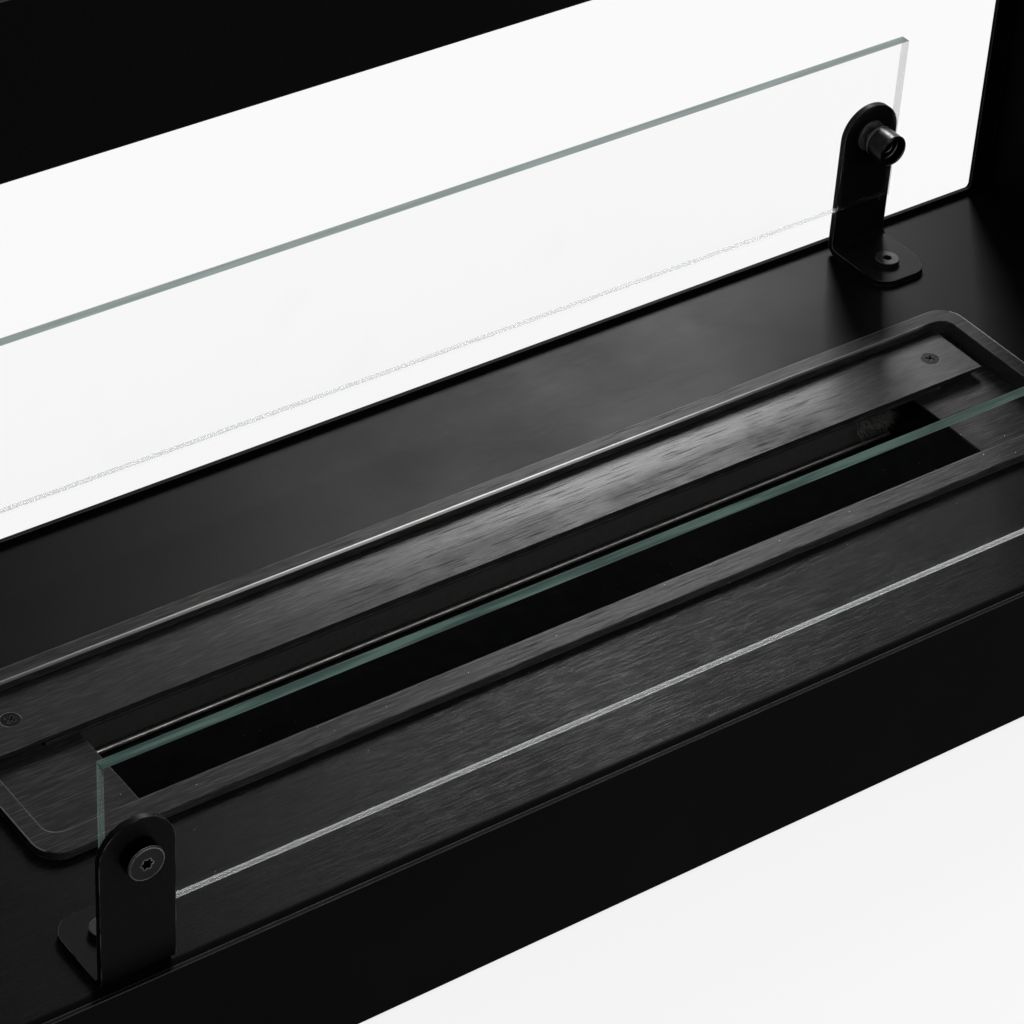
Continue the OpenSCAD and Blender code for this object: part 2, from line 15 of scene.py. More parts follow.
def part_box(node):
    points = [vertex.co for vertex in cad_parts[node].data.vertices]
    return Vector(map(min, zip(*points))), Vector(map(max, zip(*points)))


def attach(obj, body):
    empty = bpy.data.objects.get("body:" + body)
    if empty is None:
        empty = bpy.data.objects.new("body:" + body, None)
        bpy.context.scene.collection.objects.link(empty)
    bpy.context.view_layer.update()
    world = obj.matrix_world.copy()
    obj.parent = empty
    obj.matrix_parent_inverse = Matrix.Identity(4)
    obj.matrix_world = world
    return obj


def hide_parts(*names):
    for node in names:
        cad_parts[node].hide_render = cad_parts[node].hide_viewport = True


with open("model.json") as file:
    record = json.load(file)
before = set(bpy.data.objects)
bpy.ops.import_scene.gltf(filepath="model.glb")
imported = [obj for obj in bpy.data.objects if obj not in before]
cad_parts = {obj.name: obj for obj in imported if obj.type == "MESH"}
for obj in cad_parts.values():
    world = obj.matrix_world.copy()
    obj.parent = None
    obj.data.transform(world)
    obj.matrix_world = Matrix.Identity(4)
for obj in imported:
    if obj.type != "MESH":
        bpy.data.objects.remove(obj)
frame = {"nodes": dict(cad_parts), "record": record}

log = logging.getLogger("fireplace")
Colour = tuple[float, float, float]
Socket = bpy.types.NodeSocket
Value = Socket | float | tuple[float, ...]
Span = tuple[float, ...]
MM = 0.001
FLOAT = "NodeSocketFloat"
VECTOR = "NodeSocketVector"
ORIGIN = (0.0, 0.0, 0.0)
DUST_TONE: Colour = (0.2, 0.19, 0.18)


def scale_tone(tone: Colour, share: float) -> Colour:
    """Return a colour times a share, with no part above 1."""
    return tuple(min(1.0, share * part) for part in tone)


class Lay(Enum):
    """Direction of the brushing lines, as the stretch of the noise along x, y and z."""

    ALONG_WIDTH = (0.036, 1.0, 1.0)
    ALONG_HEIGHT = (1.0, 1.0, 0.036)


class Graph:
    """Short calls that add and join the nodes of one node tree."""

    def __init__(self, tree: bpy.types.NodeTree) -> None:
        """Keep the tree that the calls work on."""
        self.tree = tree

    def add(self, kind: str, settings: dict[str, object] | None = None,
            **inputs: Value) -> bpy.types.Node:
        """Add one node and fill its inputs.

        Args:
            kind: The node's type without its common prefix.
            settings: Properties of the node.
            inputs: Values or sockets by input name, with _ for a space.

        Returns:
            The new node.
        """
        node = self.tree.nodes.new("ShaderNode" + kind)
        for name, value in (settings or {}).items():
            setattr(node, name, value)
        for name, value in inputs.items():
            self.fill(node.inputs[name.replace("_", " ")], value)
        return node

    def fill(self, target: Socket, value: Value) -> None:
        """Join a socket to an input, or write a plain value on it.

        Args:
            target: The input.
            value: A socket, a number or a tuple of numbers.
        """
        if isinstance(value, bpy.types.NodeSocket):
            self.tree.links.new(value, target)
        elif isinstance(value, tuple) and target.type == "RGBA" and len(value) == 3:
            target.default_value = (*value, 1.0)
        else:
            target.default_value = value

    def math(self, operation: str, *values: Value, clamp: bool = False) -> Socket:
        """Return the result of one Math node.

        Args:
            operation: The node's operation.
            values: Its inputs in order.
            clamp: Whether the result stays within 0 and 1.

        Returns:
            The result's socket.
        """
        node = self.add("Math", {"operation": operation, "use_clamp": clamp})
        for target, value in zip(node.inputs, values):
            self.fill(target, value)
        return node.outputs[0]

    def times(self, first: Value, second: Value) -> Socket:
        """Return the product of two values."""
        return self.math("MULTIPLY", first, second)

    def scaled(self, value: Value, factor: Value, base: Value) -> Socket:
        """Return a value times a factor, plus a base."""
        return self.math("MULTIPLY_ADD", value, factor, base)

    def larger(self, first: Value, second: Value) -> Socket:
        """Return the larger of two values."""
        return self.math("MAXIMUM", first, second)

    def parts(self, vector: Value) -> list[Socket]:
        """Return a vector's x, y and z."""
        return list(self.add("SeparateXYZ", Vector=vector).outputs)

    def span(self, value: Value, low: Value, high: Value,
             first: Value = 0.0, last: Value = 1.0) -> Socket:
        """Return a value eased from the first result at its low limit to the last at its high one."""
        return self.add("MapRange", {"interpolation_type": "SMOOTHSTEP"}, Value=value, From_Min=low,
                        From_Max=high, To_Min=first, To_Max=last).outputs["Result"]

    def tint(self, share: Value, first: Value, second: Value) -> Socket:
        """Return a colour between two colours.

        Args:
            share: 0 for the first colour, 1 for the second.
            first: The first colour.
            second: The second colour.

        Returns:
            The mixed colour's socket.
        """
        node = self.add("Mix", {"data_type": "RGBA"})
        for target, value in zip((node.inputs[0], node.inputs[6], node.inputs[7]),
                                 (share, first, second)):
            self.fill(target, value)
        return node.outputs[2]

    def noise(self, place: Value, per_m: Value, detail: float = 2.0,
              roughness: float = 0.5) -> Socket:
        """Return noise with so many features in a metre, and with finer layers of some strength."""
        return self.add("TexNoise", Vector=place, Scale=per_m, Detail=detail,
                        Roughness=roughness).outputs["Fac"]

    def stretched(self, place: Value, stretch: tuple[float, float, float],
                  turn: tuple[float, float, float] = ORIGIN) -> Socket:
        """Return coordinates scaled along x, y and z and turned about them, in radians."""
        return self.add("Mapping", Vector=place, Scale=stretch, Rotation=turn).outputs[0]

    def bump(self, relief: float, height: Value, normal: Value | None = None,
             strength: float = 1.0) -> Socket:
        """Return the normal that a relief gives.

        Args:
            relief: Depth of the relief in metres.
            height: Where the surface is high, from 0 to 1.
            normal: The normal under the relief, or nothing for the surface's own.
            strength: Share of the relief that counts.

        Returns:
            The new normal's socket.
        """
        node = self.add("Bump", Strength=strength, Distance=relief, Height=height)
        if normal is not None:
            self.fill(node.inputs["Normal"], normal)
        return node.outputs[0]

    def seen_directly(self) -> Socket:
        """Return 1 for the rays that show a thing to the camera, and 0 for those that light."""
        rays = self.add("LightPath")
        seen = self.math("ADD", rays.outputs["Is Camera Ray"], rays.outputs["Is Glossy Ray"])
        return self.math("ADD", seen, rays.outputs["Is Transmission Ray"], clamp=True)


class Effects:
    """The surface effects that several finishes share, each a shader node group."""

    FINE_SHARE = 0.55
    WAVE_SHARE = 0.45
    CLOUDS_PER_M = 9.0
    SPECKLE: Span = (0.38, 0.66)
    CLOUD: Span = (0.3, 0.7)
    LINE_SHARE = 0.86
    BROAD_SHARE = 0.14
    BROAD_SCALE = 0.31
    SPARSE_SCALE = 0.63
    LIGHT_LINES: Span = (0.47, 0.64)
    DARK_LINES: Span = (0.56, 0.7)
    BEVEL_SAMPLES = 6
    TURNED: Span = (0.997, 0.93)
    PATCHES_PER_M = 85.0
    PATCH: Span = (0.36, 0.62)
    SPECKS_PER_M = 950.0
    SPECK: Span = (0.6, 0.74)
    DRIFTS_PER_M = 21.0
    DRIFT: Span = (0.35, 0.72)
    SPECK_SHARE = 0.7
    DRIFT_SHARE = 0.3
    LEVEL: Span = (0.6, 0.95)
    SMEAR: Span = (0.54, 0.76)
    RIDGES_PER_M = 1100.0
    RIDGE: Span = (0.2, 0.8, 0.7, 1.0)
    SLOT_HALF_LENGTH = 0.227
    SLOT_HALF_DEPTH = 0.028
    SLOT_SETBACK = 0.006
    RAGGED_PER_M = 60.0
    RAGGED: Span = (0.25, 0.75, 0.45, 1.0)

    def __init__(self) -> None:
        """Build every group once."""
        self.grain = self._paint_grain()
        self.lines = self._brushed_lines()
        self.edges = self._soft_edges()
        self.dust = self._settled_dust()
        self.touch = self._touch_marks()
        self.heat = self._flame_heat()

    @staticmethod
    def _start(name: str, inputs: dict[str, float | tuple[float, ...]],
               outputs: dict[str, str]) -> tuple[Graph, bpy.types.Node, bpy.types.Node]:
        """Start a node group with its named sockets.

        Args:
            name: The group's name.
            inputs: Default value of each input, a tuple for a vector.
            outputs: Socket type of each output.

        Returns:
            The group's graph, its input node and its output node.
        """
        tree = bpy.data.node_groups.new(name, "ShaderNodeTree")
        for label, value in inputs.items():
            kind = VECTOR if isinstance(value, tuple) else FLOAT
            tree.interface.new_socket(label, in_out="INPUT", socket_type=kind).default_value = value
        for label, kind in outputs.items():
            tree.interface.new_socket(label, in_out="OUTPUT", socket_type=kind)
        return Graph(tree), tree.nodes.new("NodeGroupInput"), tree.nodes.new("NodeGroupOutput")

    def _paint_grain(self) -> bpy.types.NodeTree:
        """Return the fine grain and soft waviness of baked powder paint."""
        g, given, made = self._start(
            "paint_grain", {"Place": ORIGIN, "Grain per m": 1500.0, "Wave per m": 260.0},
            {"Relief": FLOAT, "Speckle": FLOAT, "Cloud": FLOAT})
        place = given.outputs["Place"]
        fine = g.noise(place, given.outputs["Grain per m"], detail=2.0, roughness=0.6)
        wave = g.noise(place, given.outputs["Wave per m"], detail=1.0, roughness=0.4)
        cloud = g.noise(place, self.CLOUDS_PER_M, detail=3.0, roughness=0.55)
        g.fill(made.inputs["Relief"], g.scaled(wave, self.WAVE_SHARE, g.times(fine, self.FINE_SHARE)))
        g.fill(made.inputs["Speckle"], g.span(fine, *self.SPECKLE))
        g.fill(made.inputs["Cloud"], g.span(cloud, *self.CLOUD))
        return g.tree

    def _brushed_lines(self) -> bpy.types.NodeTree:
        """Return the long fine lines that brushing leaves in sheet metal."""
        g, given, made = self._start(
            "brushed_lines", {"Stretched place": ORIGIN, "Lines per m": 1900.0},
            {"Relief": FLOAT, "Light lines": FLOAT, "Dark lines": FLOAT})
        place = given.outputs["Stretched place"]
        per_m = given.outputs["Lines per m"]
        fine = g.noise(place, per_m, detail=2.0, roughness=0.62)
        broad = g.noise(place, g.times(per_m, self.BROAD_SCALE), detail=2.0, roughness=0.5)
        sparse = g.noise(place, g.times(per_m, self.SPARSE_SCALE), detail=1.0, roughness=0.5)
        mixed = g.scaled(broad, self.BROAD_SHARE, g.times(fine, self.LINE_SHARE))
        g.fill(made.inputs["Relief"], mixed)
        g.fill(made.inputs["Light lines"], g.span(mixed, *self.LIGHT_LINES))
        g.fill(made.inputs["Dark lines"], g.span(sparse, *self.DARK_LINES))
        return g.tree

    def _soft_edges(self) -> bpy.types.NodeTree:
        """Return normals that round the edges, and masks of all rounded edges and of patches along
        them.
        """
        g, given, made = self._start(
            "soft_edges", {"Place": ORIGIN, "Radius": 0.0004},
            {"Normal": VECTOR, "Worn": FLOAT, "Turned": FLOAT})
        rounded = g.add("Bevel", {"samples": self.BEVEL_SAMPLES}, Radius=given.outputs["Radius"])
        dot = g.add("VectorMath", {"operation": "DOT_PRODUCT"})
        g.fill(dot.inputs[0], rounded.outputs[0])
        g.fill(dot.inputs[1], g.add("NewGeometry").outputs["True Normal"])
        turned = g.span(dot.outputs["Value"], *self.TURNED)
        patch = g.noise(given.outputs["Place"], self.PATCHES_PER_M, detail=3.0, roughness=0.6)
        g.fill(made.inputs["Normal"], rounded.outputs[0])
        g.fill(made.inputs["Worn"], g.times(turned, g.span(patch, *self.PATCH)))
        g.fill(made.inputs["Turned"], turned)
        return g.tree

    def _settled_dust(self) -> bpy.types.NodeTree:
        """Return the thin dust that settles on faces that look up."""
        g, given, made = self._start(
            "settled_dust", {"Place": ORIGIN, "Amount": 0.3}, {"Dust": FLOAT})
        place = given.outputs["Place"]
        up = g.parts(g.add("NewGeometry").outputs["True Normal"])[2]
        specks = g.noise(place, self.SPECKS_PER_M, detail=2.0, roughness=0.7)
        drift = g.noise(place, self.DRIFTS_PER_M, detail=3.0, roughness=0.6)
        film = g.scaled(g.span(specks, *self.SPECK), self.SPECK_SHARE,
                        g.times(g.span(drift, *self.DRIFT), self.DRIFT_SHARE))
        lying = g.times(film, g.span(up, *self.LEVEL))
        g.fill(made.inputs["Dust"], g.times(lying, given.outputs["Amount"]))
        return g.tree

    def _touch_marks(self) -> bpy.types.NodeTree:
        """Return the faint smears that hands leave."""
        g, given, made = self._start(
            "touch_marks", {"Place": ORIGIN, "Marks per m": 38.0}, {"Smear": FLOAT})
        place = given.outputs["Place"]
        where = g.noise(place, given.outputs["Marks per m"], detail=3.0, roughness=0.55)
        ridges = g.noise(place, self.RIDGES_PER_M, detail=1.0, roughness=0.5)
        g.fill(made.inputs["Smear"], g.times(g.span(where, *self.SMEAR), g.span(ridges, *self.RIDGE)))
        return g.tree

    def _flame_heat(self) -> bpy.types.NodeTree:
        """Return how much of the flame's heat and soot reaches a point round the slot."""
        g, given, made = self._start(
            "flame_heat", {"Place": ORIGIN, "Reach": 0.03}, {"Heat": FLOAT})
        place = given.outputs["Place"]
        x, y, _ = g.parts(place)
        along = g.math("SUBTRACT", g.math("ABSOLUTE", x), self.SLOT_HALF_LENGTH)
        across = g.math("SUBTRACT", g.math("ABSOLUTE", g.math("ADD", y, self.SLOT_SETBACK)),
                        self.SLOT_HALF_DEPTH)
        far = g.larger(g.larger(along, across), 0.0)
        near = g.span(far, given.outputs["Reach"], 0.0)
        ragged = g.noise(place, self.RAGGED_PER_M, detail=4.0, roughness=0.6)
        g.fill(made.inputs["Heat"], g.times(near, g.span(ragged, *self.RAGGED)))
        return g.tree


class Finish:
    """What every finish shares: a new material with its shader, and calls that place effects."""

    @staticmethod
    def start(name: str) -> tuple[bpy.types.Material, Graph, bpy.types.Node, Socket]:
        """Start a material.

        Args:
            name: The material's name.

        Returns:
            The material, its graph, its shader and the object's coordinates.
        """
        material = bpy.data.materials.new(name)
        material.use_nodes = True
        graph = Graph(material.node_tree)
        shader = material.node_tree.nodes["Principled BSDF"]
        place = graph.add("TexCoord").outputs["Object"]
        return material, graph, shader, place

    @staticmethod
    def place(graph: Graph, group: bpy.types.NodeTree, **inputs: Value) -> bpy.types.Node:
        """Return an effect's group placed in a material, with its inputs by name."""
        return graph.add("Group", {"node_tree": group}, **inputs)

    @staticmethod
    def coat(graph: Graph, shader: bpy.types.Node, colour: Socket, rough: Socket, normal: Socket,
             **plain: float) -> None:
        """Feed a shader.

        Args:
            graph: The material's graph.
            shader: The material's shader.
            colour: Its Base Color.
            rough: Its Roughness.
            normal: Its Normal.
            plain: Constant values by input name, with _ for a space.
        """
        for name, value in (("Base Color", colour), ("Roughness", rough), ("Normal", normal)):
            graph.fill(shader.inputs[name], value)
        for name, value in plain.items():
            shader.inputs[name.replace("_", " ")].default_value = value


@dataclass(frozen=True)
class PowderPaint(Finish):
    """Black powder paint, baked on sheet steel, with brushing that shows through if asked for."""

    name: str
    tone: Colour
    wear_and_highlight_tone: Colour = (0.11, 0.11, 0.112)
    dusty: Colour = (0.16, 0.155, 0.145)
    roughness: float = 0.5
    shine: float = 0.5
    grain_per_m: float = 1500.0
    relief: float = 0.00005
    edge: float = 0.0004
    wear_and_edge_highlight: float = 0.35
    dust: float = 0.18
    painted_arris_highlight: float = 0.0
    deep_share: float = 0.72
    lit_share: float = 1.3
    cloud_rough: float = 0.08
    smear_rough: float = -0.02
    dust_rough: float = 0.25
    lines: float = 0.0
    lines_per_m: float = 2900.0
    line_relief: float = 1.6
    streak: Colour = (0.015, 0.015, 0.0144)
    streak_share: float = 0.5
    dark_rough: float = 0.12
    light_rough: float = -0.22
    front_rough: float = -0.07
    front: Span = (0.06, -0.075, 0.12, 1.0)
    lip_shade_band: Span = (0.0095, 0.0045)
    lip_shade_rough: float = 0.95

    def make(self, effects: Effects) -> bpy.types.Material:
        """Return the material.

        Args:
            effects: The shared effects.

        Returns:
            The finished material.
        """
        material, g, shader, place = self.start(self.name)
        grain = self.place(g, effects.grain, Place=place, Grain_per_m=self.grain_per_m)
        edges = self.place(g, effects.edges, Place=place, Radius=self.edge)
        dust = self.place(g, effects.dust, Place=place, Amount=self.dust)
        touch = self.place(g, effects.touch, Place=place)
        colour = g.tint(grain.outputs["Speckle"], scale_tone(self.tone, self.deep_share),
                        scale_tone(self.tone, self.lit_share))
        # painted highlight: patchy edges (partly real abrasion) and every rounded edge are tinted
        # toward the pale edge tone, for light lines along the arrises
        wear_and_highlight = g.times(edges.outputs["Worn"], self.wear_and_edge_highlight)
        wear_and_highlight = g.larger(wear_and_highlight, g.times(edges.outputs["Turned"], self.painted_arris_highlight))
        colour = g.tint(wear_and_highlight, colour, self.wear_and_highlight_tone)
        colour = g.tint(dust.outputs["Dust"], colour, self.dusty)
        rough = g.scaled(grain.outputs["Cloud"], self.cloud_rough,
                         self.roughness - self.cloud_rough / 2)
        rough = g.scaled(touch.outputs["Smear"], self.smear_rough, rough)
        rough = g.math("ADD", rough, g.times(dust.outputs["Dust"], self.dust_rough), clamp=True)
        height = grain.outputs["Relief"]
        if self.lines:
            colour, rough, height = self.brushed(effects, g, place, colour, rough, height)
        self.coat(g, shader, colour, rough, g.bump(self.relief, height, edges.outputs["Normal"]),
                  Specular_IOR_Level=self.shine)
        return material

    def brushed(self, effects: Effects, g: Graph, place: Socket, colour: Socket, rough: Socket,
                height: Socket) -> tuple[Socket, Socket, Socket]:
        """Add brushing lines, which are strongest at the front and end in a band by the lip that is
        painted shade: plain tone, no light lines and high roughness.

        Args:
            effects: The shared effects.
            g: The material's graph.
            place: The object's coordinates.
            colour: The colour so far.
            rough: The roughness so far.
            height: The relief so far.

        Returns:
            The new colour, roughness and relief.
        """
        lay = g.stretched(place, Lay.ALONG_WIDTH.value)
        lines = self.place(g, effects.lines, Stretched_place=lay, Lines_per_m=self.lines_per_m)
        depth = g.parts(place)[1]
        front = g.span(depth, *self.front)
        drawn = g.times(front, self.lines)
        height = g.scaled(g.times(lines.outputs["Relief"], drawn), self.line_relief, height)
        streak = g.times(lines.outputs["Light lines"], g.times(drawn, self.streak_share))
        colour = g.tint(streak, colour, self.streak)
        rough = g.scaled(lines.outputs["Dark lines"], g.times(drawn, self.dark_rough), rough)
        rough = g.scaled(g.math("SUBTRACT", lines.outputs["Light lines"], 0.5),
                         g.times(drawn, self.light_rough), rough)
        rough = g.scaled(front, self.front_rough, rough)
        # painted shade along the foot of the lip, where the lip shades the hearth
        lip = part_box("hearth_plate")[0].y
        lip_shade_band = g.span(depth, *(lip + inset for inset in self.lip_shade_band))
        colour = g.tint(lip_shade_band, colour, self.tone)
        rough = g.larger(rough, g.times(lip_shade_band, self.lip_shade_rough))
        return colour, rough, height


@dataclass(frozen=True)
class BrushedBlack(Finish):
    """Brushed stainless sheet, blackened for the burner."""

    name: str
    tone: Colour
    bright: Colour
    wear_and_highlight_tone: Colour = (0.2, 0.2, 0.195)
    soot: Colour = (0.006, 0.006, 0.006)
    roughness: float = 0.38
    metal: float = 0.35
    shine: float = 0.2
    lay: Lay = Lay.ALONG_WIDTH
    lines_per_m: float = 1900.0
    relief: float = 0.00004
    edge: float = 0.0004
    wear_and_edge_highlight: float = 0.5
    stretch: float = 0.85
    heat_reach: float = 0.012
    marks_per_m: float = 30.0
    dust: float = 0.02
    dark_tone: float = 0.45
    dark_share: float = 0.6
    soot_share: float = 0.55
    dark_rough: float = 0.14
    smear_rough: float = 0.06
    heat_rough: float = 0.12
    painted_fold_highlight: float = 0.0
    rim_fold: float = 0.008
    fold_band: Span = (0.0012, 0.0007)
    fold_top: Span = (0.0016, 0.001)
    fold_corner: Span = (0.018, 0.026)
    fold_left: Span = (-0.25, -0.03, 0.25, 1.0)
    fold_right: Span = (0.02, 0.2, 0.8, 0.1)
    end_band: Span = (0.003, 0.002)
    end_share: float = 0.45

    def make(self, effects: Effects) -> bpy.types.Material:
        """Return the material.

        Args:
            effects: The shared effects.

        Returns:
            The finished material.
        """
        material, g, shader, place = self.start(self.name)
        lines = self.place(g, effects.lines, Stretched_place=g.stretched(place, self.lay.value),
                           Lines_per_m=self.lines_per_m)
        edges = self.place(g, effects.edges, Place=place, Radius=self.edge)
        heat = self.place(g, effects.heat, Place=place, Reach=self.heat_reach)
        touch = self.place(g, effects.touch, Place=place, Marks_per_m=self.marks_per_m)
        dust = self.place(g, effects.dust, Place=place, Amount=self.dust)
        colour = g.tint(lines.outputs["Light lines"], self.tone, self.bright)
        colour = g.tint(g.times(lines.outputs["Dark lines"], self.dark_share), colour,
                        scale_tone(self.tone, self.dark_tone))
        # edges tinted pale: partly real abrasion, partly a painted edge highlight
        colour = g.tint(g.times(edges.outputs["Worn"], self.wear_and_edge_highlight), colour, self.wear_and_highlight_tone)
        # painted highlight: light tint along the rim's rear inner bend and its outer end bends
        if self.painted_fold_highlight:
            colour = g.tint(self.painted_fold_highlights(g, place, edges), colour, self.wear_and_highlight_tone)
        colour = g.tint(g.times(heat.outputs["Heat"], self.soot_share), colour, self.soot)
        colour = g.tint(dust.outputs["Dust"], colour, DUST_TONE)
        rough = g.scaled(lines.outputs["Dark lines"], self.dark_rough, self.roughness)
        rough = g.scaled(touch.outputs["Smear"], self.smear_rough, rough)
        rough = g.scaled(heat.outputs["Heat"], self.heat_rough, rough)
        bump = g.bump(self.relief, lines.outputs["Relief"], edges.outputs["Normal"])
        self.coat(g, shader, colour, rough, bump, Metallic=self.metal,
                  Specular_IOR_Level=self.shine, Anisotropic=self.stretch)
        grain = g.add("Tangent", {"direction_type": "RADIAL", "axis": "X"})
        g.fill(shader.inputs["Tangent"], grain.outputs[0])
        return material

    def painted_fold_highlights(self, g: Graph, place: Socket, edges: bpy.types.Node) -> Socket:
        """Return the painted highlights: a lighter tint along the rear inner bend and on the outer
        bends at the ends.

        Args:
            g: The material's graph.
            place: The object's coordinates.
            edges: The placed effect that finds edges.

        Returns:
            The mask's socket.
        """
        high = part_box("burner_rim")[1]
        x, y, z = g.parts(place)
        wide = g.math("ABSOLUTE", x)
        off = g.math("ABSOLUTE", g.math("SUBTRACT", y, high.y - self.rim_fold))
        # the painted highlight fades along x and near the corners, as the lamp's reflection does
        fade = g.times(g.span(x, *self.fold_right), g.span(x, *self.fold_left))
        fade = g.times(fade, g.span(wide, *(high.x - inset for inset in self.fold_corner)))
        rear = g.times(g.span(off, *self.fold_band), fade)
        upper = g.span(z, *(high.z - drop for drop in self.fold_top))
        ends = g.span(wide, *(high.x - inset for inset in self.end_band), 0.0, self.end_share)
        ends = g.times(edges.outputs["Turned"], ends)
        return g.times(g.larger(g.times(rear, upper), ends), self.painted_fold_highlight)


@dataclass(frozen=True)
class BareSteel(Finish):
    """Unpainted steel: turned, rolled or zinc plated."""

    name: str
    tone: Colour
    shade: Colour
    burnt: Colour = (0.008, 0.007, 0.006)
    roughness: float = 0.35
    lay: Lay = Lay.ALONG_WIDTH
    lines_per_m: float = 1300.0
    relief: float = 0.00003
    edge: float = 0.0003
    metal: float = 1.0
    soot: float = 0.0
    wear_and_highlight: float = 1.5
    shine: float = 0.5
    marks_per_m: float = 60.0
    heat_reach: float = 0.02
    blooms_per_m: float = 130.0
    bloom: Span = (0.35, 0.68)
    line_lift: float = 1.25
    line_share: float = 0.25
    worn_share: float = 0.5
    bloom_rough: float = 0.1
    smear_rough: float = 0.08

    def make(self, effects: Effects) -> bpy.types.Material:
        """Return the material.

        Args:
            effects: The shared effects.

        Returns:
            The finished material.
        """
        material, g, shader, place = self.start(self.name)
        lines = self.place(g, effects.lines, Stretched_place=g.stretched(place, self.lay.value),
                           Lines_per_m=self.lines_per_m)
        edges = self.place(g, effects.edges, Place=place, Radius=self.edge)
        touch = self.place(g, effects.touch, Place=place, Marks_per_m=self.marks_per_m)
        heat = self.place(g, effects.heat, Place=place, Reach=self.heat_reach)
        bloom = g.span(g.noise(place, self.blooms_per_m, 4.0, 0.65), *self.bloom)
        colour = g.tint(bloom, self.tone, self.shade)
        colour = g.tint(g.times(lines.outputs["Light lines"], self.line_share), colour,
                        scale_tone(self.tone, self.line_lift))
        # edges tinted up to tone times this factor: partly real abrasion, partly painted glints, very
        # large on clamps and screws
        colour = g.tint(g.times(edges.outputs["Worn"], self.worn_share), colour,
                        scale_tone(self.tone, self.wear_and_highlight))
        colour = g.tint(g.times(heat.outputs["Heat"], self.soot), colour, self.burnt)
        rough = g.scaled(bloom, self.bloom_rough, self.roughness - self.bloom_rough / 2)
        rough = g.scaled(touch.outputs["Smear"], self.smear_rough, rough)
        bump = g.bump(self.relief, lines.outputs["Relief"], edges.outputs["Normal"])
        self.coat(g, shader, colour, rough, bump, Metallic=self.metal,
                  Specular_IOR_Level=self.shine)
        return material


